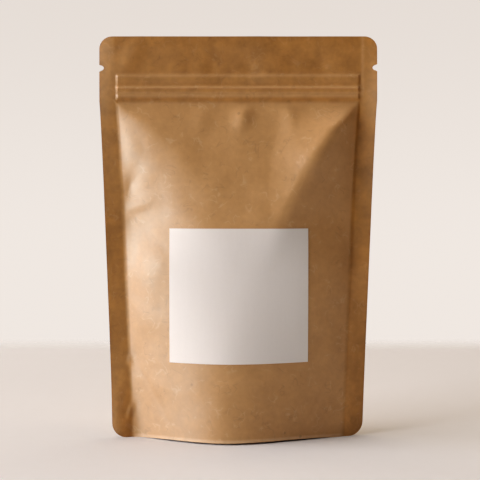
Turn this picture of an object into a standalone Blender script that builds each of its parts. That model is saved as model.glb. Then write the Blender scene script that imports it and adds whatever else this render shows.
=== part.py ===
"""A shut stand-up coffee pouch of kraft paper laminate, with a blank square paper label.

The pouch is one solid: a flat header with a press-to-close zip and two tear notches, sealed
fins down both sides, front and back panels that open from the straight zip line into the bowed
base, and a gusset folded up into the underside. The label is a thin separate sheet just clear
of the front panel. The origin is on the table under the middle of the pouch, with the front
panel facing -Y.
"""

import math

import bmesh
import bpy

# Driving sizes, in metres. The trade size of the pouch is 120 x 180 mm with a 40 mm gusset.
WIDTH = 0.1204              # across the flat header
HEIGHT = 0.1745             # standing on its opened gusset
BELLY_DEPTH = 0.0380        # front to back at the table
BASE_SHAPE = 1.4            # the base line is a bell: 1 is a parabola, more draws its ends in
BASE_BLEND = 0.042          # height over which the bell turns into the rounded panel
PANEL_POWER = 2.1           # roundness of the panel at the table
PANEL_POWER_RISE = 7.5      # and how much flatter it gets, per metre of height
SEAL = 0.0069               # width of the side seals at the zip
SEAL_GROW = 0.0016          # and how much wider they are at the table
FIN_THICKNESS = 0.0005      # front and back laminate sealed together
DRAW_IN = 0.0054            # how far each side is drawn in at the table by the bowed base
TOP_CORNER = 0.0054         # radius of the cut corners
BASE_CORNER = 0.0060
NOTCH = {"height": 0.1608, "half_height": 0.0013, "depth": 0.0020}

# The zip: a strip welded inside both panels, with two tracks that show as raised bands.
# Each pair is a height on the pouch and how far the zip stands out from the header there.
ZIP_FOOT = 0.1455           # where the panels start to open
ZIP_LEVELS = (
    (0.1453, 0.0), (0.1466, 0.00035), (0.1480, 0.00045), (0.1492, 0.00080), (0.1503, 0.00055),
    (0.1514, 0.00060), (0.1524, 0.00095), (0.1534, 0.00025), (0.1570, 0.00025), (0.1582, 0.0),
)
ZIP_END = 0.0015            # length over which the tracks are crushed flat at the side seals

# Ridges run from the ends of the zip inwards and down, on both sides of a sloping face.
RIDGE_REACH = 0.060         # how far in from the seals the ridges would end up
RIDGE_LENGTH = 0.058        # drop over which they turn from steep to level
RIDGE_SLOPE = 0.40          # how fast the face comes forward below the zip
RIDGE_EASE = 2.4            # how fast that slope eases off, per metre of drop
RIDGE_FADE = (0.116, 0.090)  # heights between which the ridges melt into the round belly
LIP = {"rise": 0.0024, "width": 0.018, "start": 0.007, "end": 0.056, "full": 0.028}
LEFT_CROWN = 0.80           # how much the left side facet bulges
RIGHT_CROWN = 0.22

# Underside: the gusset lies on the table in the middle and is folded up at both ends.
SKIRT = 0.0006              # thickness of the skirt's edge
GROOVE = 0.0018             # height of the gusset just inside the skirt
EAR_RISE = 0.0036           # height of the folded ends of the gusset
EAR_START = 0.024
EAR_END = 0.040

LABEL = {"width": 0.0594, "low": 0.0346, "high": 0.0915, "shift": 0.0004}
LABEL_GAP = 0.00035         # clear of the panel, along Y
LABEL_THICKNESS = 0.00030

# Mesh density
CENTRE_COLUMNS = 11         # from the middle to a ridge
SIDE_COLUMNS = 7            # from a ridge to the seal
FIN_COLUMNS = 2
ARC_STEPS = 4
LABEL_CELLS = (14, 7)


def ease(start, end, value):
    """0 before start, 1 after end, smooth between; start may be above end."""
    t = min(max((value - start) / (end - start), 0.0), 1.0)
    return t * t * (3 - 2 * t)


def soft_min(a, b, radius):
    """The lower of a and b, with their meeting edge rounded."""
    h = min(max(0.5 + 0.5 * (b - a) / radius, 0.0), 1.0)
    return b + (a - b) * h - radius * h * (1 - h)


def plain_half_width(z):
    """Half the width at height z, without corners and notches."""
    drop = max(1 - z / ZIP_FOOT, 0.0)
    return WIDTH / 2 - DRAW_IN * drop ** 0.8


def half_width(z):
    """Half the width at height z, with the rounded corners and the tear notches."""
    width = plain_half_width(z)
    for radius, inside in ((BASE_CORNER, z), (TOP_CORNER, HEIGHT - z)):
        if inside < radius:
            width -= radius - math.sqrt(max(radius ** 2 - (radius - inside) ** 2, 0.0))
    offset = abs(z - NOTCH["height"]) / NOTCH["half_height"]
    if offset < 1:
        width -= NOTCH["depth"] * math.sqrt(1 - offset ** 2)
    return width


def seal_line(z):
    """Distance of the side seal's inner edge from the middle."""
    drop = max(1 - z / ZIP_FOOT, 0.0)
    return plain_half_width(z) - SEAL - SEAL_GROW * drop ** 0.5


def ridge_line(z):
    """Distance of the ridge from the middle."""
    drop = max(ZIP_FOOT - z, 0.0)
    return seal_line(z) - RIDGE_REACH * (1 - math.exp(-drop / RIDGE_LENGTH))


def zip_relief(x, z):
    """How far the zip strip and its tracks stand out from the header."""
    rise = 0.0
    for (low, before), (high, after) in zip(ZIP_LEVELS, ZIP_LEVELS[1:]):
        rise += (after - before) * ease(low, high, z)
    return rise * ease(0.0, ZIP_END, seal_line(z) - abs(x))


def belly(x, z):
    """Depth of the lower body: a bell-shaped base line that turns into a rounded panel."""
    opening = (BELLY_DEPTH - FIN_THICKNESS) / 2
    middle = opening * max(1 - z / ZIP_FOOT, 0.0) ** 0.35
    share = min(abs(x) / seal_line(z), 1.0)
    base = (1 - share ** 2) ** BASE_SHAPE
    panel = 1 - share ** (PANEL_POWER + PANEL_POWER_RISE * z)
    return middle * (base + (panel - base) * ease(0.0, BASE_BLEND, z))


def shoulders(x, z):
    """Depth of the upper body: a sloping face between two side facets."""
    drop = ZIP_FOOT - z
    ridge = ridge_line(z)
    crest = RIDGE_SLOPE * drop - RIDGE_EASE * drop ** 2
    lift = LIP["rise"] * ease(0.0, LIP["start"], drop) * ease(LIP["end"], LIP["full"], drop)
    lip = min(max((x - ridge) / LIP["width"] + 1, 0.0), 1.2)
    face = crest + lift * lip ** 2
    if x > 0:
        crest += lift
    crown = LEFT_CROWN if x < 0 else RIGHT_CROWN
    inward = (seal_line(z) - abs(x)) / (seal_line(z) - ridge)
    facet = crest * (inward + crown * inward * max(1 - inward, 0.0))
    return soft_min(facet, face, 0.0003 + 0.075 * drop)


def panel_depth(x, z):
    """How far a panel stands out from the middle plane at (x, z)."""
    flat = FIN_THICKNESS / 2
    if abs(x) >= seal_line(z):
        return flat
    bulge = 0.0
    if z < ZIP_FOOT:
        round_part = ease(RIDGE_FADE[0], RIDGE_FADE[1], z)
        if round_part > 0:
            bulge += round_part * belly(x, z)
        if round_part < 1:
            bulge += (1 - round_part) * shoulders(x, z)
    return flat + max(bulge, 0.0) + zip_relief(x, z)


def spread(start, end, steps):
    """Evenly spaced values from start up to, but not including, end."""
    return [start + (end - start) * i / steps for i in range(steps)]


def row_heights():
    """Heights of the mesh rows: dense at the corners, the notch and the zip's tracks."""
    turns = [math.pi / 2 * i / ARC_STEPS for i in range(ARC_STEPS + 1)]
    rows = [BASE_CORNER * (1 - math.cos(turn)) for turn in turns[:-1]]
    rows += spread(BASE_CORNER, RIDGE_FADE[1], 11)
    rows += spread(RIDGE_FADE[1], 0.138, 13)
    rows += spread(0.138, ZIP_LEVELS[0][0], 3)
    for (low, _), (high, _) in zip(ZIP_LEVELS, ZIP_LEVELS[1:]):
        rows += [low, (low + high) / 2]
    rows.append(ZIP_LEVELS[-1][0])
    for step in (-1, -0.85, -0.45, 0, 0.45, 0.85, 1):
        rows.append(NOTCH["height"] + NOTCH["half_height"] * step)
    rows += spread(0.1655, HEIGHT - TOP_CORNER, 1)
    rows += [HEIGHT - TOP_CORNER + TOP_CORNER * math.sin(turn) for turn in turns]
    return rows


def column_places(z):
    """x of the columns from the middle to the right edge at height z; they follow the ridge."""
    seal = seal_line(z)
    ridge = min(max(ridge_line(z), 0.020), seal - 0.003)
    places = spread(0.0, ridge, CENTRE_COLUMNS) + spread(ridge, seal, SIDE_COLUMNS)
    places += spread(seal, half_width(z), FIN_COLUMNS)
    places.append(half_width(z))
    return places


def make_sheet(bm, side):
    """One panel as a grid of vertices, rows upwards and columns from -X to +X."""
    sheet = []
    for z in row_heights():
        right = column_places(z)
        places = [-x for x in reversed(right[1:])] + right
        sheet.append([bm.verts.new((x, side * panel_depth(-side * x, z), z)) for x in places])
    for low, high in zip(sheet, sheet[1:]):
        for i in range(len(low) - 1):
            bm.faces.new((low[i], low[i + 1], high[i + 1], high[i]))
    return sheet


def gusset_column(bm, front, back):
    """Vertices across the underside from the front edge to the back edge."""
    x, depth = front.co.x, back.co.y
    inner = depth - SKIRT
    ear = EAR_RISE * ease(EAR_START, EAR_END, abs(x))
    section = ((1.0, 0.0), (0.88, max(GROOVE, ear)), (0.62, 0.9 * ear), (0.0, ear))
    section += tuple((-share, rise) for share, rise in reversed(section[:-1]))
    middle = [bm.verts.new((x, -inner * share, rise)) for share, rise in section]
    return [front] + middle + [back]


def make_underside(bm, front, back):
    """The folded gusset between the bottom edges of the two panels."""
    last = len(front) - 1
    rim = range(FIN_COLUMNS + 1, last - FIN_COLUMNS)
    columns = [gusset_column(bm, front[i], back[i]) for i in rim]
    for left, right in zip(columns, columns[1:]):
        for i in range(len(left) - 1):
            bm.faces.new((left[i], left[i + 1], right[i + 1], right[i]))
    for column, i in ((columns[0], FIN_COLUMNS), (columns[-1], last - FIN_COLUMNS)):
        middle = len(column) // 2
        for j in range(middle):
            bm.faces.new((column[j], column[j + 1], front[i]))
            bm.faces.new((column[middle + j], column[middle + j + 1], back[i]))
        bm.faces.new((column[middle], back[i], front[i]))
    for start in (0, last - FIN_COLUMNS):
        for i in range(start, start + FIN_COLUMNS):
            bm.faces.new((front[i], front[i + 1], back[i + 1], back[i]))


def make_material(name, colour, roughness):
    material = bpy.data.materials.new(name)
    material.use_nodes = True
    shader = material.node_tree.nodes["Principled BSDF"]
    shader.inputs["Base Color"].default_value = (*colour, 1.0)
    shader.inputs["Roughness"].default_value = roughness
    return material


def finish_object(bm, name, material):
    """Turns the faces outwards and puts the mesh in the scene."""
    bmesh.ops.recalc_face_normals(bm, faces=bm.faces)
    mesh = bpy.data.meshes.new(name)
    bm.to_mesh(mesh)
    bm.free()
    mesh.materials.append(material)
    mesh.shade_smooth()
    mesh.set_sharp_from_angle(angle=math.radians(40))
    obj = bpy.data.objects.new(name, mesh)
    bpy.context.scene.collection.objects.link(obj)
    return obj


def make_pouch():
    bm = bmesh.new()
    front = make_sheet(bm, -1)
    back = make_sheet(bm, 1)
    for row in range(len(front) - 1):
        for end in (0, -1):
            bm.faces.new((front[row][end], front[row + 1][end], back[row + 1][end], back[row][end]))
    for i in range(len(front[-1]) - 1):
        bm.faces.new((front[-1][i], front[-1][i + 1], back[-1][i + 1], back[-1][i]))
    make_underside(bm, front[0], back[0])
    kraft = make_material("kraft_laminate", (0.50, 0.26, 0.11), 0.5)
    return finish_object(bm, "pouch", kraft)


def make_label():
    """The label: a grid of the front panel's own shape, thickened forwards."""
    across, up = LABEL_CELLS
    bm = bmesh.new()
    grid = bmesh.ops.create_grid(bm, x_segments=across, y_segments=up, size=0.5)["verts"]
    for vert in grid:
        x = LABEL["shift"] + LABEL["width"] * vert.co.x
        z = LABEL["low"] + (LABEL["high"] - LABEL["low"]) * (vert.co.y + 0.5)
        vert.co = (x, -panel_depth(x, z) - LABEL_GAP, z)
    front = bmesh.ops.extrude_face_region(bm, geom=bm.faces[:] + bm.edges[:] + bm.verts[:])
    for part in front["geom"]:
        if isinstance(part, bmesh.types.BMVert):
            part.co.y -= LABEL_THICKNESS
    paper = make_material("white_paper", (0.88, 0.87, 0.85), 0.6)
    return finish_object(bm, "label", paper)


def main():
    for old in list(bpy.data.objects):
        bpy.data.objects.remove(old, do_unlink=True)
    pouch = make_pouch()
    label = make_label()
    label.parent = pouch


main()
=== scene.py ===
# Coffee pouch: the finished look of a kraft stand-up bag with a blank paper label.
import math

import bpy
import numpy as np
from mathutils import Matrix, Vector


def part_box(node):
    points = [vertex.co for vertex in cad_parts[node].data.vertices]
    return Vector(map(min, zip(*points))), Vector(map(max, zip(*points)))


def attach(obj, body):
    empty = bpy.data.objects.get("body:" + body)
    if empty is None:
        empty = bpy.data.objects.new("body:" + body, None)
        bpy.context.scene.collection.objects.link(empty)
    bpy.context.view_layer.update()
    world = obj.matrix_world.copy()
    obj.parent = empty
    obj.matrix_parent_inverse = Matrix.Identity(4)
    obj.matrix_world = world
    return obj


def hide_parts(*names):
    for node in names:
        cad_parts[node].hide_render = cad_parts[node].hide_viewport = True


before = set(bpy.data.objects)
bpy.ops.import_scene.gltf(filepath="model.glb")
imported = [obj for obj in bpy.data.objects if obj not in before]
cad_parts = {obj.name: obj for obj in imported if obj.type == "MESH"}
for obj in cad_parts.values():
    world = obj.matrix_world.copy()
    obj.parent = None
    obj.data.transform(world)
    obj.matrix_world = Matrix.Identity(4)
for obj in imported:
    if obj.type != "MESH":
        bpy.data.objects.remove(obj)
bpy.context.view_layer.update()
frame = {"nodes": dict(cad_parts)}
pouchLow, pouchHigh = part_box("pouch")
labelLow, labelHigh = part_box("label")
mm = 0.001
print("frame loaded:", ", ".join(frame["nodes"]))

cameraSettings = {
    "lens": 85.0,                       # millimetres on a 36 mm sensor
    "distance": 0.494,                  # from the pouch's middle plane
    "height": 0.106,
    "aside": 0.0009,
    "tilt": 2.3,                        # degrees below level
}


def addCamera(settings):
    data = bpy.data.cameras.new("camera")
    data.lens = settings["lens"]
    data.sensor_width = 36.0
    camera = bpy.data.objects.new("camera", data)
    camera.location = (settings["aside"], -settings["distance"], settings["height"])
    camera.rotation_euler = (math.radians(90 - settings["tilt"]), 0, 0)
    bpy.context.scene.collection.objects.link(camera)
    bpy.context.scene.camera = camera


addCamera(cameraSettings)

# The pouch is worked out in millimetres: x across, z up, depth out from the middle plane.
pouchShape = {
    "width": (pouchHigh.x - pouchLow.x) / mm,
    "height": (pouchHigh.z - pouchLow.z) / mm,
    "bellyDepth": 38.0,
    "seal": 6.9,                        # width of the side seals at the zip
    "sealGrow": 1.2,                    # and how much wider they are at the base
    "fin": 0.44,                        # thickness of the two laminates sealed together
    "drawIn": 5.4,                      # how far the bowed base draws each side in
    "topCorner": 5.4,
    "topLean": 0.7,                     # the top edge leans back
    "baseCorner": 6.0,
    "notch": {"height": 160.8, "halfHeight": 1.3, "depth": 2.0},
    "zipFoot": 146.2,                   # the panels open from here down
    "zipEnd": 1.5,                      # the zip's relief fades over this at each end
    # height above the header of each level of the zip, from its foot up
    "zipLevels": ((146.7, 0.0), (147.8, 0.65), (149.0, 0.70), (149.9, 0.25), (151.5, 0.75),
                  (152.3, 1.20), (153.2, 0.30), (157.4, 0.50), (158.2, 0.0)),
    # height, half width and paleness of the zip's lines: paler uncrushed paper, and painted
    # highlights along the zip's ridges
    "zipLines": ((157.6, 0.8, 0.80), (152.5, 0.7, 1.00), (149.3, 1.1, 1.00), (155.2, 1.8, 0.15)),
    "ridgeReach": 51.6,                 # how far in from the seal the ridge runs, in the end
    "ridgeLength": 58.0,                # and how far down it gets most of the way
    "ridgeSlope": 0.31,                 # how fast the crest comes forward, and how that eases off
    "ridgeEase": 0.0011,
    # how softly the ridge turns: crisp at its corner, softest below that, firmer lower down
    "ridgeTurn": {"least": 0.3, "soft": 5.5, "start": 6.0, "firmer": 0.7, "fade": (14.0, 55.0)},
    "ridgeFade": (99.0, 69.0),          # heights between which it melts into the rounded panel
    "crown": -0.10,                     # below 0 the facet right of the ridge is hollow
    "leftFacet": {"reach": 34.0, "length": 31.0, "steep": 0.86, "soft": 0.36, "tail": 0.12},
    "leftPuff": {"rise": 1.15, "length": 6.2, "top": (1.0, 9.0), "fade": (44.0, 24.0),
                 "right": (15.0, -45.0)},
    "lip": {"rise": 5.7, "width": 32.0, "narrow": 0.5, "power": 1.35, "start": 12.0,
            "fade": (56.0, 18.0)},
    "keel": {"nose": -4.0, "round": (0.44, 0.29)},     # the bottom edge's nose and its two sides
    "baseBlend": 95.0,                  # height over which the bell turns into the rounded panel
    "bellyRise": 0.37,
    "bellySides": 0.30,                 # share of the panel's fall that lies near the side seals
    # softness of the turn up from the left seal: stronger near the base, gone under the zip
    "fillet": {"slope": 0.29, "reach": 5.2, "extra": 0.7, "extraFade": (55.0, 25.0),
               "fade": (140.0, 108.0)},
    "baseLift": 0.8,                    # gap under the middle of the bottom edge
    "skirt": 0.5,                       # the gusset's fold is this much shallower than the front
    "groove": 2.4,                      # depth of the groove between the fold and the gusset
    "ledge": (0.6, 0.8),                # where that groove runs, as shares of the depth
    "brim": (1.0, 0.86),
    "liftFade": 9.0,
    "earRise": 17.0,                    # the gusset's folded ends rise to this height
    "earStart": 22.0,
    "earEnd": 42.0,
}

# Soft folds: place, angle of the long axis from +X, half length, half width, height, and how
# round the crest is (2 is round, 1 is creased).
frontFolds = (
    # side facet on the left
    {"x": -46.0, "z": 125.0, "angle": 95, "long": 8.0, "wide": 4.0, "rise": 0.25, "round": 2},
    {"x": -39.5, "z": 113.0, "angle": 85, "long": 7.0, "wide": 5.0, "rise": 0.30, "round": 2},
    {"x": -47.5, "z": 109.0, "angle": 60, "long": 5.0, "wide": 2.5, "rise": -0.45, "round": 2},
    {"x": -43.0, "z": 101.5, "angle": 20, "long": 7.0, "wide": 3.0, "rise": 0.50, "round": 2},
    # waves that hang from the zip
    {"x": 2.2, "z": 139.5, "angle": 75, "long": 6.5, "wide": 3.8, "rise": 1.45, "round": 2},
    {"x": 22.5, "z": 141.0, "angle": 95, "long": 6.0, "wide": 3.5, "rise": 0.75, "round": 2},
    {"x": -15.0, "z": 139.0, "angle": 90, "long": 6.0, "wide": 4.0, "rise": 0.40, "round": 2},
    # the slanting seals of the gusset
    {"x": -35.3, "z": 18.0, "angle": 120, "long": 13.0, "wide": 0.9, "rise": -0.13, "round": 2},
    {"x": 36.0, "z": 19.0, "angle": 60, "long": 13.0, "wide": 0.9, "rise": -0.13, "round": 2},
)

# Bends that both laminates share, in the header and the side seals.
sheetFolds = (
    {"x": -46.0, "z": 166.0, "angle": 60, "long": 10.0, "wide": 4.0, "rise": 0.60, "round": 2},
    {"x": -21.0, "z": 161.0, "angle": 90, "long": 5.0, "wide": 3.0, "rise": -0.20, "round": 2},
    {"x": -11.0, "z": 160.5, "angle": 80, "long": 4.0, "wide": 2.5, "rise": -0.20, "round": 2},
    {"x": 5.0, "z": 160.5, "angle": 100, "long": 5.0, "wide": 3.5, "rise": -0.35, "round": 2},
    {"x": 23.0, "z": 160.5, "angle": 85, "long": 5.0, "wide": 3.0, "rise": -0.25, "round": 2},
    {"x": 37.0, "z": 160.5, "angle": 95, "long": 4.0, "wide": 3.0, "rise": -0.20, "round": 2},
    # puckers at the left seal
    {"x": -47.3, "z": 33.6, "angle": 95, "long": 2.2, "wide": 0.9, "rise": 0.45, "round": 2},
    {"x": -47.0, "z": 11.0, "angle": 75, "long": 3.2, "wide": 1.1, "rise": 1.60, "round": 2},
)

ripples = {
    "panel": {"seed": 4, "waves": 40, "lengths": (9.0, 34.0), "slope": 0.022},
    "sheet": {"seed": 9, "waves": 30, "lengths": (14.0, 45.0), "slope": 0.016},
}

# distances over which folds and ripples come in, and how much a label calms them
calm = {"foot": 25.0, "seal": 5.0, "zip": 4.0, "sheetSeal": 6.0, "sheetZip": 12.0,
        "label": 0.7, "labelEdge": 4.0}

# how far forward the outer edge of each side seal stands, at heights from the base up
finCurl = {
    "left": ((0, 40, 85, 112, 130, 174), (-1.2, -0.1, 0.5, 0.0, -0.2, -1.3)),
    "right": ((0, 30, 70, 110, 135, 150, 174), (-3.0, -2.2, 0.0, 1.1, 1.3, 1.9, 0.2)),
}
footFlare = {"forward": 3.2, "height": 32.0, "start": 40.0, "end": 54.0}    # bottom left corner


def ease(start, end, value):
    t = np.clip((value - start) / (end - start), 0.0, 1.0)
    return t * t * (3 - 2 * t)


def softMin(a, b, radius):
    h = np.clip(0.5 + 0.5 * (b - a) / radius, 0.0, 1.0)
    return b + (a - b) * h - radius * h * (1 - h)


def sideLine(z):
    s = pouchShape
    drop = np.maximum(1 - z / s["zipFoot"], 0.0)
    return s["width"] / 2 - s["drawIn"] * drop ** 0.8


def sealLine(z):
    s = pouchShape
    drop = np.maximum(1 - z / s["zipFoot"], 0.0)
    return sideLine(z) - s["seal"] - s["sealGrow"] * drop ** 0.5


def halfWidth(z):
    s = pouchShape
    line = sideLine(z)
    for radius, inside in ((s["baseCorner"], z), (s["topCorner"], s["height"] - z)):
        short = np.clip(radius - inside, 0.0, radius)
        line = line - (radius - np.sqrt(radius ** 2 - short ** 2))
    offset = np.minimum(np.abs(z - s["notch"]["height"]) / s["notch"]["halfHeight"], 1.0)
    return line - s["notch"]["depth"] * np.sqrt(1 - offset ** 2)


def ridgeLine(z):
    s = pouchShape
    drop = np.maximum(s["zipFoot"] - z, 0.0)
    return sealLine(z) - s["ridgeReach"] * (1 - np.exp(-drop / s["ridgeLength"]))


def zipRelief(x, z):
    s = pouchShape
    levels = s["zipLevels"]
    rise = 0.0 * z
    for (low, before), (high, after) in zip(levels, levels[1:]):
        rise = rise + (after - before) * ease(low, high, z)
    return rise * ease(0.0, s["zipEnd"], sealLine(z) - np.abs(x))


def belly(x, z):
    # a keel-shaped bottom edge that turns into a rounded panel
    s = pouchShape
    share = np.clip(z / s["zipFoot"], 0.0, 1.0)
    middle = (s["bellyDepth"] - s["fin"]) / 2 * (1 - share) ** s["bellyRise"]
    rounded = ease(0.0, s["baseBlend"], z)
    nose = s["keel"]["nose"] * (1 - rounded)
    left = x < nose
    u = np.minimum(np.abs(x - nose) / np.where(left, sealLine(z) + nose, sealLine(z) - nose), 1.0)
    bend = np.where(left, *s["keel"]["round"])
    brim = np.sqrt(bend ** 2 + 1)
    keel = (brim - np.sqrt(bend ** 2 + u ** 2)) / (brim - bend)
    panel = 1 - (1 - s["bellySides"]) * u ** 2 - s["bellySides"] * u ** 6
    return middle * (keel + (panel - keel) * rounded)


def shoulders(x, z):
    # under the zip: a sloping face that rounds off to the left and ends in a ridge on the right
    s = pouchShape
    drop = np.maximum(s["zipFoot"] - z, 0.02)
    seal, ridge = sealLine(z), ridgeLine(z)
    crest = s["ridgeSlope"] * drop - s["ridgeEase"] * drop ** 2
    left = s["leftFacet"]
    inward = (seal + x) / (left["reach"] * (1 - np.exp(-drop / left["length"])))
    turned = softMin(left["steep"] * inward, 1.0, left["soft"])
    face = crest * (turned + left["tail"] * (np.minimum(1 + x / seal, 1.0) - turned))
    puff = s["leftPuff"]
    filled = ease(*puff["top"], drop) * ease(*puff["fade"], drop) * ease(*puff["right"], x)
    face = face + puff["rise"] * filled * (1 - np.exp(-np.maximum(seal + x, 0.0) / puff["length"]))
    lip = s["lip"]
    lift = lip["rise"] * ease(0.0, lip["start"], drop) * ease(*lip["fade"], drop)
    ramp = (x - ridge) / np.maximum(lip["width"] - lip["narrow"] * drop, 5.0)
    face = face + lift * np.clip(ramp + 1, 0.0, 1.2) ** lip["power"]
    inward = (seal - x) / np.maximum(seal - ridge, 0.01)
    facet = (crest + lift) * (inward + s["crown"] * inward * np.maximum(1 - inward, 0.0))
    turn = s["ridgeTurn"]
    soft = turn["soft"] * (1 - np.exp(-drop / turn["start"]))
    soft = soft * (1 - turn["firmer"] * ease(*turn["fade"], drop))
    return softMin(facet, face, turn["least"] + soft)


# Where the paper looks pressed, or paler; some of the paleness is painted light on the side seals
# and painted highlights on the zip's lines. Pairs of heights and distances are where a fade starts
# and ends.
sealMarks = {
    "apart": (0.0, 1.6),                # across the side seals' inner edge
    "foot": (0.8, -1.2),                # above and below the foot of the zip
    # painted light: the side seals paler between these heights under the zip, more on the right
    "paintedLitSeals": {"top": (-3.0, -8.0), "bottom": (112.0, 126.0), "edge": (-1.0, 0.5),
              "left": 0.45, "right": 0.95},
    "lineEnd": (-0.5, 1.0),
    "upright": {"x": 54.0, "half": 0.7, "share": 0.45, "foot": (143.0, 147.0)},
    "sides": {"edge": (1.5, 0.0), "top": (6.0, -6.0)},
    "lowerRight": {"share": 1.25, "fade": (100.0, 68.0)},
    "lowerLeft": {"share": 0.8, "fade": (32.0, 14.0)},
}
# a painted highlight along the fold at the bottom edge, and darker cut edges of the seals
rimMarks = {"bottom": (1.6, 0.9), "ends": (0.0, 3.0), "cut": (0.9, 0.1)}


def zipEase(pair, z):
    # a fade whose heights are counted from the foot of the zip
    return ease(pouchShape["zipFoot"] + pair[0], pouchShape["zipFoot"] + pair[1], z)


def sealedAndPaintedLightMask(x, z):
    # 1 where the two laminates are pressed together, 2 in the side seals under the zip; lower where
    # a paler colour paints light on the side seals and highlights on the zip's lines
    marks = sealMarks
    inside = sealLine(z) - np.abs(x)
    panel = ease(*marks["apart"], inside) * zipEase(marks["foot"], z)
    # painted light: paler side seals under the zip
    paintedLitSeals = marks["paintedLitSeals"]
    part = zipEase(paintedLitSeals["top"], z) * ease(*paintedLitSeals["bottom"], z) * ease(*paintedLitSeals["edge"], -inside)
    pale = np.where(x > 0, paintedLitSeals["right"], paintedLitSeals["left"]) * part
    # paler uncrushed paper, and painted highlights along the zip's lines
    for height, half, share in pouchShape["zipLines"]:
        line = share * np.exp(-((z - height) / half) ** 2)
        pale = pale + line * ease(*marks["lineEnd"], inside)
    upright = marks["upright"]
    line = upright["share"] * np.exp(-((x - upright["x"]) / upright["half"]) ** 2)
    pale = pale + line * ease(*upright["foot"], z)
    sides = ease(*marks["sides"]["edge"], inside) * zipEase(marks["sides"]["top"], z)
    right, left = marks["lowerRight"], marks["lowerLeft"]
    sides = sides * (1 - right["share"] * ease(*right["fade"], z) * (x > 0)
                     - left["share"] * ease(*left["fade"], z) * (x < 0))
    return (1 - panel) * (1 - np.minimum(pale, 1.0)) + sides


def foldHighlightAndCutMask(x, z):
    # 1 along the fold at the bottom edge, where a highlight is painted; -1 along the cut edges of
    # the seals
    inside = sealLine(z) - np.abs(x)
    bottom = ease(*rimMarks["bottom"], z) * ease(*rimMarks["ends"], inside)
    cut = ease(*rimMarks["cut"], halfWidth(z) - np.abs(x))
    return bottom - cut


def foldField(x, z, folds):
    total = np.zeros(np.broadcast(x, z).shape)
    for fold in folds:
        turn = math.radians(fold["angle"])
        along = (x - fold["x"]) * math.cos(turn) + (z - fold["z"]) * math.sin(turn)
        across = (z - fold["z"]) * math.cos(turn) - (x - fold["x"]) * math.sin(turn)
        profile = np.exp(-np.abs(across / fold["wide"]) ** fold["round"])
        total += fold["rise"] * profile * np.exp(-(along / fold["long"]) ** 2)
    return total


def rippleField(x, z, settings):
    # low waves in every direction; the slope is their usual steepness
    random = np.random.default_rng(settings["seed"])
    total = np.zeros(np.broadcast(x, z).shape)
    for i in range(settings["waves"]):
        length, turn = random.uniform(*settings["lengths"]), random.uniform(0, 2 * math.pi)
        phase = random.uniform(0, 2 * math.pi)
        path = x * math.cos(turn) + z * math.sin(turn)
        total += length * np.sin(2 * math.pi * path / length + phase)
    return total * settings["slope"] / (2 * math.pi * math.sqrt(settings["waves"] / 4))


def labelCover(x, z):
    # 1 on the label, 0 away from it
    low, high = labelLow / mm, labelHigh / mm
    edge = calm["labelEdge"]
    across = ease(low.x - edge, low.x, x) * ease(high.x + edge, high.x, x)
    return across * ease(low.z - edge, low.z, z) * ease(high.z + edge, high.z, z)


def sheetBend(x, z):
    # how far both laminates lean forward together
    s = pouchShape
    inside = np.maximum(sealLine(z) - np.abs(x), 0.0)
    loose = 1 - ease(0.0, calm["sheetSeal"], inside) * zipEase((calm["sheetZip"], 0.0), z)
    flutter = foldField(x, z, sheetFolds) + rippleField(x, z, ripples["sheet"])
    out = np.clip((np.abs(x) - sealLine(z)) / (sideLine(z) - sealLine(z)), 0.0, 1.0)
    curl = np.where(x < 0, np.interp(z, *finCurl["left"]), np.interp(z, *finCurl["right"]))
    curl = curl * out ** 1.5
    flare = footFlare["forward"] * ease(footFlare["height"], 0.0, z)
    curl = curl + flare * ease(footFlare["start"], footFlare["end"], -x)
    lean = -s["topLean"] * ease(s["height"] - 5.0, s["height"], z)
    return flutter * loose * ease(0.0, calm["foot"], z) + curl + lean


def panelDepth(x, z, folds):
    s = pouchShape
    inside = np.maximum(sealLine(z) - np.abs(x), 0.0)
    roundPart = ease(*s["ridgeFade"], z)
    bulge = roundPart * belly(x, z) + (1 - roundPart) * shoulders(x, z)
    below = zipEase((0.0, -calm["zip"]), z)
    soft = rippleField(x, z, ripples["panel"]) * (1 - calm["label"] * labelCover(x, z))
    soft = soft * ease(0.0, calm["foot"], z)
    fillet = s["fillet"]
    turnUp = fillet["slope"] * (1 + fillet["extra"] * ease(*fillet["extraFade"], z))
    turnUp = turnUp * ease(*fillet["fade"], z) * (x < 0)
    bulge = bulge - turnUp * inside * np.exp(-inside / fillet["reach"])
    bulge = bulge + (foldField(x, z, folds) + soft) * ease(0.0, calm["seal"], inside) * below
    bulge = np.where((inside > 0) & (z < s["zipFoot"]), np.maximum(bulge, 0.0), 0.0)
    return s["fin"] / 2 + bulge + zipRelief(x, z)


pouchMesh = {
    "columns": (42, 30, 12),             # from the middle to a ridge, to the seal and to the edge
    "rowStep": 0.75,
    "zipRowStep": 0.3,
    "cornerSteps": 10,
    "gussetPoints": 17,
}


def rowHeights(settings):
    s = pouchShape
    turns = np.linspace(0, math.pi / 2, settings["cornerSteps"] + 1)
    foot = s["zipLevels"][0][0] - 1.5
    bodyRows = round((foot - s["baseCorner"]) / settings["rowStep"])
    head = s["height"] - s["topCorner"]
    zipRows = round((head - foot) / settings["zipRowStep"])
    return np.concatenate([
        s["baseCorner"] * (1 - np.cos(turns[:-1])),
        np.linspace(s["baseCorner"], foot, bodyRows, endpoint=False),
        np.linspace(foot, head, zipRows, endpoint=False),
        head + s["topCorner"] * np.sin(turns),
    ])


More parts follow.
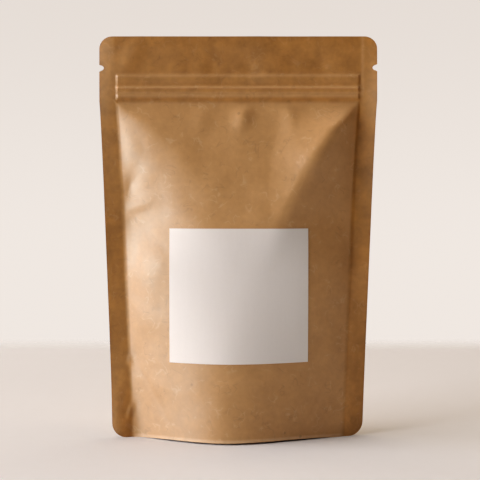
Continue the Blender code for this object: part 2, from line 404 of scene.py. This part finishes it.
def columnPlaces(z, counts):
    # x of every column from edge to edge; the columns follow the ridges
    seal, edge = sealLine(z), halfWidth(z)
    ridge = np.clip(ridgeLine(z), 24.0, seal - 4.0)
    stops = ((0.0 * z, ridge), (ridge, seal), (seal, edge))
    right = [low + (high - low) * i / steps
             for (low, high), steps in zip(stops, counts) for i in range(steps)]
    right = np.array(right + [edge])
    return np.concatenate([-right[:0:-1], right])


def gridQuads(ids, flip):
    quads = np.stack([ids[:-1, :-1], ids[:-1, 1:], ids[1:, 1:], ids[1:, :-1]], -1).reshape(-1, 4)
    return (quads[:, ::-1] if flip else quads).tolist()


def makeObject(name, verts, faces, material, masks=()):
    mesh = bpy.data.meshes.new(name)
    mesh.from_pydata(verts.tolist(), [], faces)
    mesh.materials.append(material)
    mesh.shade_smooth()
    mesh.set_sharp_from_angle(angle=math.radians(45))
    for mask, values in masks:
        mesh.attributes.new(mask, "FLOAT", "POINT").data.foreach_set("value", values)
    piece = bpy.data.objects.new(name, mesh)
    bpy.context.scene.collection.objects.link(piece)
    return piece


def makePouch(settings, material):
    s = pouchShape
    rows = rowHeights(settings)
    x = np.stack([columnPlaces(z, settings["columns"]) for z in rows])
    z = np.repeat(rows[:, None], x.shape[1], 1)
    lean = sheetBend(x, z)
    lift = s["baseLift"] * (1 - np.minimum(np.abs(x) / s["earEnd"], 1.0) ** 4)
    lift = lift * ease(s["liftFade"], 0.0, z)
    front = np.stack([x, -panelDepth(x, z, frontFolds) - lean, z + lift], -1)
    back = np.stack([x, panelDepth(-x, z, ()) - lean, z + lift], -1)
    ids = np.arange(x.size).reshape(x.shape)
    frontIds, backIds = ids, ids + x.size
    faces = gridQuads(frontIds, False) + gridQuads(backIds, True)
    faces += gridQuads(np.stack([frontIds[:, 0], backIds[:, 0]], 1), False)
    faces += gridQuads(np.stack([frontIds[:, -1], backIds[:, -1]], 1), True)
    faces += gridQuads(np.stack([frontIds[-1], backIds[-1]]), False)

    # underside: the gusset between the two bottom edges
    fins = settings["columns"][2]
    first, last = fins, x.shape[1] - fins
    acrossShares = np.linspace(-1, 1, settings["gussetPoints"])
    columnX = x[0, first:last]
    ends = ease(*rimMarks["ends"], sealLine(0.0) - np.abs(columnX))
    ear = s["earRise"] * ease(s["earStart"], s["earEnd"], np.abs(columnX)) * ends
    share = np.abs(acrossShares)[None]
    rise = np.maximum(s["groove"] * ease(*s["ledge"], share), ear[:, None])
    rise = rise * ease(*s["brim"], share) * ends[:, None]
    depth = panelDepth(columnX[:, None], rise, ())
    inner = depth - np.minimum(s["skirt"], depth * 0.3)
    gussetZ = np.maximum(rise, lift[0, first:last, None])
    gussetY = inner * acrossShares[None] - sheetBend(columnX, 0.0 * columnX)[:, None]
    gusset = np.stack([columnX[:, None] + 0 * rise, gussetY, gussetZ], -1)
    count = len(acrossShares)
    gussetIds = np.arange(gusset.size // 3).reshape(-1, count) + 2 * x.size
    strip = np.concatenate([frontIds[0, first:last, None], gussetIds,
                            backIds[0, first:last, None]], 1)
    faces += gridQuads(strip, False)
    faces += gridQuads(np.stack([frontIds[0, :first], backIds[0, :first]], 1), False)
    faces += gridQuads(np.stack([frontIds[0, last:], backIds[0, last:]], 1), False)
    faces.append([frontIds[0, first - 1], backIds[0, first - 1], *strip[0][::-1]])
    faces.append([backIds[0, last], frontIds[0, last], *strip[-1]])

    verts = np.concatenate([front.reshape(-1, 3), back.reshape(-1, 3), gusset.reshape(-1, 3)])
    gussetMask = np.zeros(gusset.size // 3)
    masks = []
    for mask, values in (("sealedAndPaintedLight", sealedAndPaintedLightMask(x, z)), ("foldHighlightAndCut", foldHighlightAndCutMask(x, z))):
        masks.append((mask, np.concatenate([values.ravel(), values.ravel(), gussetMask])))
    return makeObject("pouchPaper", verts * mm, faces, material, masks)


labelSettings = {
    "cells": 72,
    "gap": 0.10,                        # above the kraft paper, millimetres
    "thickness": 0.14,
    "hang": 0.5,                        # its lower edge, below the solid's
}


def makeLabel(settings, material):
    low, high = labelLow / mm, labelHigh / mm
    u = np.linspace(0, 1, settings["cells"] + 1)
    bottom = low.z - settings["hang"]
    x, z = np.meshgrid(low.x + (high.x - low.x) * u, bottom + (high.z - bottom) * u)
    under = -panelDepth(x, z, frontFolds) - settings["gap"]
    frontSide = np.stack([x, under - settings["thickness"], z], -1)
    backSide = np.stack([x, under, z], -1)
    frontIds = np.arange(x.size).reshape(x.shape)
    backIds = frontIds + x.size
    faces = gridQuads(frontIds, False) + gridQuads(backIds, True)
    for edge in ((slice(None), 0), (-1, slice(None))):
        faces += gridQuads(np.stack([frontIds[edge], backIds[edge]], 1), edge[0] == -1)
    for edge in ((slice(None), -1), (0, slice(None))):
        faces += gridQuads(np.stack([frontIds[edge], backIds[edge]], 1), edge[0] != 0)
    verts = np.concatenate([frontSide.reshape(-1, 3), backSide.reshape(-1, 3)])
    return makeObject("labelPaper", verts * mm, faces, material)


def addNode(tree, kind, values=None, **properties):
    made = tree.nodes.new(kind)
    for name, value in properties.items():
        setattr(made, name, value)
    for socket, value in (values or {}).items():
        if isinstance(value, bpy.types.NodeSocket):
            tree.links.new(value, made.inputs[socket])
        else:
            made.inputs[socket].default_value = value
    return made


def maths(tree, operation, first, second=0.0, clamp=False):
    made = addNode(tree, "ShaderNodeMath", {0: first, 1: second}, operation=operation,
                   use_clamp=clamp)
    return made.outputs[0]


def remap(tree, value, low, high, outLow=0.0, outHigh=1.0):
    values = {"Value": value, "From Min": low, "From Max": high,
              "To Min": outLow, "To Max": outHigh}
    return addNode(tree, "ShaderNodeMapRange", values, interpolation_type="SMOOTHSTEP").outputs[0]


def blend(tree, factor, first, second, mode="MIX"):
    made = addNode(tree, "ShaderNodeMix", data_type="RGBA", blend_type=mode)
    for socket, value in ((0, factor), (6, first), (7, second)):
        if isinstance(value, bpy.types.NodeSocket):
            tree.links.new(value, made.inputs[socket])
        else:
            made.inputs[socket].default_value = value if socket == 0 else (*value, 1)
    return made.outputs[2]


def blendValue(tree, factor, first, second):
    return addNode(tree, "ShaderNodeMix", {0: factor, 2: first, 3: second}).outputs[0]


def newGroup(name, inputs, outputs):
    # inputs: name to default value, None for a vector
    tree = bpy.data.node_groups.new(name, "ShaderNodeTree")
    for label, value in inputs.items():
        kind = "NodeSocketVector" if value is None else "NodeSocketFloat"
        socket = tree.interface.new_socket(name=label, in_out="INPUT", socket_type=kind)
        if value is not None:
            socket.default_value = value
    for label in outputs:
        tree.interface.new_socket(name=label, in_out="OUTPUT", socket_type="NodeSocketFloat")
    start, end = tree.nodes.new("NodeGroupInput"), tree.nodes.new("NodeGroupOutput")
    return tree, start.outputs, end.inputs


def makeCloudGroup():
    # soft blotches from -1 to 1
    tree, given, result = newGroup(
        "paperCloud", {"Vector": None, "Scale": 100.0, "Detail": 2.0}, ["Cloud"])
    noise = addNode(tree, "ShaderNodeTexNoise", {"Vector": given["Vector"], "Scale": given["Scale"],
                                                 "Detail": given["Detail"], "Roughness": 0.55})
    centred = addNode(tree, "ShaderNodeMath", {0: noise.outputs[0], 1: 4.0, 2: -2.0},
                      operation="MULTIPLY_ADD")
    tree.links.new(centred.outputs[0], result["Cloud"])
    return tree


def makeFibreGroup():
    # short curly threads: thin level lines of a noise, broken up by a second noise
    tree, given, result = newGroup(
        "paperFibres", {"Vector": None, "Scale": 240.0, "Width": 0.02, "Share": 0.5}, ["Fibres"])
    lines = addNode(tree, "ShaderNodeTexNoise", {"Vector": given["Vector"], "Scale": given["Scale"],
                                                 "Detail": 1.5, "Distortion": 0.8})
    offset = maths(tree, "ABSOLUTE", maths(tree, "SUBTRACT", lines.outputs[0], 0.5))
    line = maths(tree, "SUBTRACT", 1.0, maths(tree, "DIVIDE", offset, given["Width"]), clamp=True)
    shifted = addNode(tree, "ShaderNodeVectorMath", {0: given["Vector"], 1: (0.31, 0.17, 0.23)})
    gaps = addNode(tree, "ShaderNodeTexNoise", {"Vector": shifted.outputs[0],
                                                "Scale": given["Scale"], "Detail": 1.0})
    over = maths(tree, "SUBTRACT", gaps.outputs[0], maths(tree, "SUBTRACT", 1.0, given["Share"]))
    kept = maths(tree, "MULTIPLY", over, 12.0, clamp=True)
    tree.links.new(maths(tree, "MULTIPLY", line, kept), result["Fibres"])
    return tree


def makeSpeckGroup():
    # small scattered dots
    tree, given, result = newGroup(
        "paperSpecks", {"Vector": None, "Scale": 200.0, "Size": 0.1, "Share": 0.1}, ["Specks"])
    cells = addNode(tree, "ShaderNodeTexVoronoi", {"Vector": given["Vector"],
                                                   "Scale": given["Scale"]})
    within = maths(tree, "SUBTRACT", given["Size"], cells.outputs["Distance"])
    dot = maths(tree, "MULTIPLY", within, 20.0, clamp=True)
    parts = addNode(tree, "ShaderNodeSeparateColor", {0: cells.outputs["Color"]})
    chosen = maths(tree, "LESS_THAN", parts.outputs[0], given["Share"])
    tree.links.new(maths(tree, "MULTIPLY", dot, chosen), result["Specks"])
    return tree


cloudGroup, fibreGroup, speckGroup = makeCloudGroup(), makeFibreGroup(), makeSpeckGroup()


def useGroup(tree, group, vector, **values):
    made = addNode(tree, "ShaderNodeGroup", node_tree=group)
    tree.links.new(vector, made.inputs["Vector"])
    for name, value in values.items():
        made.inputs[name].default_value = value
    return made.outputs[0]


def newMaterial(name):
    material = bpy.data.materials.new(name)
    material.use_nodes = True
    tree = material.node_tree
    place = addNode(tree, "ShaderNodeTexCoord").outputs["Object"]
    return material, tree, tree.nodes["Principled BSDF"], place


def weighted(tree, base, marks, weights):
    # base plus each named mark times its weight
    total = base
    for name, weight in weights.items():
        total = maths(tree, "ADD", maths(tree, "MULTIPLY", marks[name], weight), total)
    return total


def tint(tree, colour, tone):
    toned = addNode(tree, "ShaderNodeVectorMath", {0: colour}, operation="SCALE")
    tree.links.new(tone, toned.inputs["Scale"])
    return toned.outputs[0]


def addBump(tree, shader, height, distance):
    bump = addNode(tree, "ShaderNodeBump", {"Height": height, "Distance": distance,
                                            "Strength": 1.0})
    tree.links.new(bump.outputs[0], shader.inputs["Normal"])


kraftSettings = {
    "colour": (0.575, 0.328, 0.146),
    "sealedColour": (0.415, 0.197, 0.050),
    "finColour": (0.365, 0.170, 0.036),
    # next: painted highlight colour for the fold at the bottom edge
    "fibreColour": (0.80, 0.62, 0.42),
    "foldHighlightColour": (0.78, 0.52, 0.30),
    "cutColour": (0.30, 0.11, 0.03),
    "foldHighlightShare": 0.8,
    "cutShare": 0.4,
    "strawShares": (0.22, 0.06),        # of the fibre colour, on the panels and in the seals
    "gloss": 0.44,
    "sealedGloss": 0.60,
    "glossGrain": {"medium": 0.03},
    "ior": 1.5,
    "fine": {"Scale": 420.0, "Detail": 2.0},
    "medium": {"Scale": 150.0, "Detail": 2.0},
    "broad": {"Scale": 38.0, "Detail": 1.0},
    "pale": {"Scale": 175.0, "Width": 0.030, "Share": 0.46},
    "dark": {"Scale": 160.0, "Width": 0.028, "Share": 0.46},
    "specks": {"Scale": 150.0, "Size": 0.13, "Share": 0.07},
    "darkShift": (0.4, 0.1, 0.7),       # so that dark fibres don't lie on pale ones
    "tone": {"fine": 0.05, "medium": 0.05, "broad": 0.03, "pale": 0.03, "dark": -0.14,
             "specks": -0.22},
    "sealedTone": {"medium": 0.12, "broad": 0.10, "fine": 0.04},
    "relief": {"fine": 0.30, "medium": 0.55, "pale": 0.30, "dark": -0.25},
    "reliefDepth": 0.00005,
}


def makeKraft(settings):
    material, tree, shader, place = newMaterial("kraftPaper")
    marks = {name: useGroup(tree, cloudGroup, place, **settings[name])
             for name in ("fine", "medium", "broad")}
    marks["pale"] = useGroup(tree, fibreGroup, place, **settings["pale"])
    moved = addNode(tree, "ShaderNodeVectorMath", {0: place, 1: settings["darkShift"]}).outputs[0]
    marks["dark"] = useGroup(tree, fibreGroup, moved, **settings["dark"])
    marks["specks"] = useGroup(tree, speckGroup, place, **settings["specks"])
    # pressed paper, and less of it where a paler colour paints light and highlights
    sealedAndPaintedLight = addNode(tree, "ShaderNodeAttribute", attribute_name="sealedAndPaintedLight").outputs["Fac"]
    foldHighlightAndCut = addNode(tree, "ShaderNodeAttribute", attribute_name="foldHighlightAndCut").outputs["Fac"]

    tone = weighted(tree, 1.0, marks, settings["tone"])
    pressed = weighted(tree, 1.0, marks, settings["sealedTone"])
    tone = maths(tree, "MULTIPLY", tone, blendValue(tree, sealedAndPaintedLight, 1.0, pressed))
    colour = blend(tree, sealedAndPaintedLight, settings["colour"], settings["sealedColour"])
    sides = maths(tree, "SUBTRACT", sealedAndPaintedLight, 1.0, clamp=True)
    colour = blend(tree, sides, colour, settings["finColour"])
    # painted highlight along the bottom fold
    fold = maths(tree, "MULTIPLY", foldHighlightAndCut, settings["foldHighlightShare"], clamp=True)
    colour = blend(tree, fold, colour, settings["foldHighlightColour"])
    cut = maths(tree, "MULTIPLY", foldHighlightAndCut, -settings["cutShare"], clamp=True)
    colour = blend(tree, cut, colour, settings["cutColour"])
    straw = maths(tree, "MULTIPLY", marks["pale"],
                  blendValue(tree, sealedAndPaintedLight, *settings["strawShares"]))
    colour = blend(tree, straw, tint(tree, colour, tone), settings["fibreColour"])
    tree.links.new(colour, shader.inputs["Base Color"])

    rough = blendValue(tree, sealedAndPaintedLight, settings["gloss"], settings["sealedGloss"])
    rough = weighted(tree, rough, marks, settings["glossGrain"])
    tree.links.new(rough, shader.inputs["Roughness"])
    shader.inputs["IOR"].default_value = settings["ior"]
    addBump(tree, shader, weighted(tree, 0.0, marks, settings["relief"]), settings["reliefDepth"])
    return material


stockSettings = {
    "colour": (0.90, 0.865, 0.825),
    "gloss": 0.55,
    "specular": 0.3,
    "stretch": (1.0, 1.0, 0.06),        # draws the streaks out along the label's height
    "streaks": {"Scale": 700.0, "Detail": 1.0},
    "grain": {"Scale": 900.0, "Detail": 2.0},
    "fibres": {"Scale": 300.0, "Width": 0.02, "Share": 0.4},
    "tone": {"streaks": 0.006, "grain": 0.006, "fibres": -0.012},
    "glossGrain": {"grain": 0.02},
    "relief": {"grain": 0.4, "fibres": 0.4},
    "reliefDepth": 0.00001,
}


def makeLabelStock(settings):
    material, tree, shader, place = newMaterial("labelStock")
    stretched = addNode(tree, "ShaderNodeVectorMath", {0: place, 1: settings["stretch"]},
                        operation="MULTIPLY").outputs[0]
    marks = {"streaks": useGroup(tree, cloudGroup, stretched, **settings["streaks"]),
             "grain": useGroup(tree, cloudGroup, place, **settings["grain"]),
             "fibres": useGroup(tree, fibreGroup, place, **settings["fibres"])}
    tone = weighted(tree, 1.0, marks, settings["tone"])
    tree.links.new(tint(tree, settings["colour"], tone), shader.inputs["Base Color"])
    rough = weighted(tree, settings["gloss"], marks, settings["glossGrain"])
    tree.links.new(rough, shader.inputs["Roughness"])
    shader.inputs["Specular IOR Level"].default_value = settings["specular"]
    addBump(tree, shader, weighted(tree, 0.0, marks, settings["relief"]), settings["reliefDepth"])
    return material


kraft = makeKraft(kraftSettings)
labelStock = makeLabelStock(stockSettings)
print("kraft paper and label stock made")

pouch = makePouch(pouchMesh, kraft)
label = makeLabel(labelSettings, labelStock)
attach(pouch, "root")
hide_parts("pouch")
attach(label, "root")
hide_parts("label")
print("pouch and label made")

tableSettings = {
    "colour": (0.84, 0.90, 0.97),
    "front": 1.4,
    "back": 0.34,                       # its far edge, behind the pouch
    "fade": 0.075,                      # where the far edge melts into the background
    "half": 1.6,
    "thickness": 0.02,
    "gloss": 0.7,
    "broad": {"Scale": 9.0, "Detail": 3.0},
    "fine": {"Scale": 160.0, "Detail": 3.0},
    "specks": {"Scale": 60.0, "Size": 0.05, "Share": 0.2},
    "tone": {"broad": 0.012, "fine": 0.006, "specks": -0.03},
    "glossGrain": {"fine": 0.03},
    "reliefDepth": 0.00003,
}

windowSettings = {
    "azimuth": 75.0,                    # degrees to the left of the camera's axis
    "elevation": 18.0,
    "distance": 2.4,
    "width": 2.2,
    "height": 1.8,
    "power": 76.0,
    "colour": (1.0, 0.93, 0.93),
}

# seen only as a reflection, it draws the satin shine on the paper's left side
shineSettings = {
    "azimuth": 58.0,
    "elevation": 0.0,
    "distance": 2.4,
    "width": 1.3,
    "height": 0.5,
    "power": 68.0,
    "colour": (0.70, 0.98, 1.0),
}

ceilingSettings = {
    "place": (0.0, 0.3, 1.4),
    "aim": (0.0, 0.1, 0.0),
    "width": 2.0,
    "height": 1.2,
    "power": 17.0,
    "colour": (1.0, 0.77, 0.57),
}

studioSettings = {
    "low": (0.868, 0.803, 0.752),       # background colour at the table
    "high": (0.785, 0.718, 0.667),      # and at the top of the view
    "rise": (-0.06, 0.20),              # between these steepnesses of the line of sight
}


def makeTableTop(settings):
    material, tree, shader, place = newMaterial("tableTop")
    marks = {"broad": useGroup(tree, cloudGroup, place, **settings["broad"]),
             "fine": useGroup(tree, cloudGroup, place, **settings["fine"]),
             "specks": useGroup(tree, speckGroup, place, **settings["specks"])}
    tone = weighted(tree, 1.0, marks, settings["tone"])
    tree.links.new(tint(tree, settings["colour"], tone), shader.inputs["Base Color"])
    rough = weighted(tree, settings["gloss"], marks, settings["glossGrain"])
    tree.links.new(rough, shader.inputs["Roughness"])
    along = addNode(tree, "ShaderNodeSeparateXYZ", {0: place}).outputs[1]
    edge = remap(tree, along, settings["back"] - settings["fade"], settings["back"], 1.0, 0.0)
    tree.links.new(edge, shader.inputs["Alpha"])
    addBump(tree, shader, marks["fine"], settings["reliefDepth"])
    return material


def addTable(settings):
    back, front, half = settings["back"], settings["front"], settings["half"]
    verts = [(x, y, z) for z in (0.0, -settings["thickness"])
             for x, y in ((-half, -front), (half, -front), (half, back), (-half, back))]
    faces = [(0, 1, 2, 3), (7, 6, 5, 4), (0, 4, 5, 1), (1, 5, 6, 2), (2, 6, 7, 3), (3, 7, 4, 0)]
    mesh = bpy.data.meshes.new("table")
    mesh.from_pydata(verts, [], faces)
    mesh.materials.append(makeTableTop(settings))
    table = bpy.data.objects.new("table", mesh)
    bpy.context.scene.collection.objects.link(table)


def addLamp(name, place, aim, settings):
    data = bpy.data.lights.new(name, "AREA")
    data.shape = "RECTANGLE"
    data.size, data.size_y = settings["width"], settings["height"]
    data.energy = settings["power"]
    data.color = settings["colour"]
    lamp = bpy.data.objects.new(name, data)
    lamp.location = place
    lamp.rotation_euler = (Vector(aim) - Vector(place)).to_track_quat("-Z", "Y").to_euler()
    bpy.context.scene.collection.objects.link(lamp)
    return lamp


def addSideLamp(name, settings):
    # low and to the left
    azimuth, elevation = math.radians(settings["azimuth"]), math.radians(settings["elevation"])
    level = settings["distance"] * math.cos(elevation)
    aim = Vector((0, 0, 0.08))           # the pouch's middle
    place = aim + Vector((-level * math.sin(azimuth), -level * math.cos(azimuth),
                          settings["distance"] * math.sin(elevation)))
    return addLamp(name, place, aim, settings)


viewSettings = {
    "transform": "Standard",
    "toe": ((0.025, 0.0115), (0.05, 0.030), (0.10, 0.077), (0.20, 0.185), (0.40, 0.397)),
}


def setView(settings):
    # film-like: a little more depth in the darkest tones
    view = bpy.context.scene.view_settings
    view.view_transform = settings["transform"]
    view.use_curve_mapping = True
    mapping = view.curve_mapping
    for point in settings["toe"]:
        mapping.curves[3].points.new(*point)
    mapping.update()


def addStudio(settings):
    # no light from the world, and a pale background where the camera sees past the table
    world = bpy.data.worlds.new("studio")
    world.use_nodes = True
    bpy.context.scene.world = world
    nodes, links = world.node_tree.nodes, world.node_tree.links
    unlit = nodes["Background"]
    unlit.inputs["Color"].default_value = (0, 0, 0, 1)
    direction = addNode(world.node_tree, "ShaderNodeTexCoord").outputs["Generated"]
    height = addNode(world.node_tree, "ShaderNodeSeparateXYZ", {0: direction}).outputs[2]
    rise = remap(world.node_tree, height, *settings["rise"])
    seen = nodes.new("ShaderNodeBackground")
    links.new(blend(world.node_tree, rise, settings["low"], settings["high"]), seen.inputs["Color"])
    path = nodes.new("ShaderNodeLightPath")
    mix = nodes.new("ShaderNodeMixShader")
    links.new(path.outputs["Is Camera Ray"], mix.inputs["Fac"])
    links.new(unlit.outputs["Background"], mix.inputs[1])
    links.new(seen.outputs["Background"], mix.inputs[2])
    links.new(mix.outputs["Shader"], nodes["World Output"].inputs["Surface"])


addTable(tableSettings)
addSideLamp("window", windowSettings)
addSideLamp("shine", shineSettings).visible_diffuse = False
addLamp("ceiling", ceilingSettings["place"], ceilingSettings["aim"], ceilingSettings)
addStudio(studioSettings)
setView(viewSettings)
print("table and lights placed")
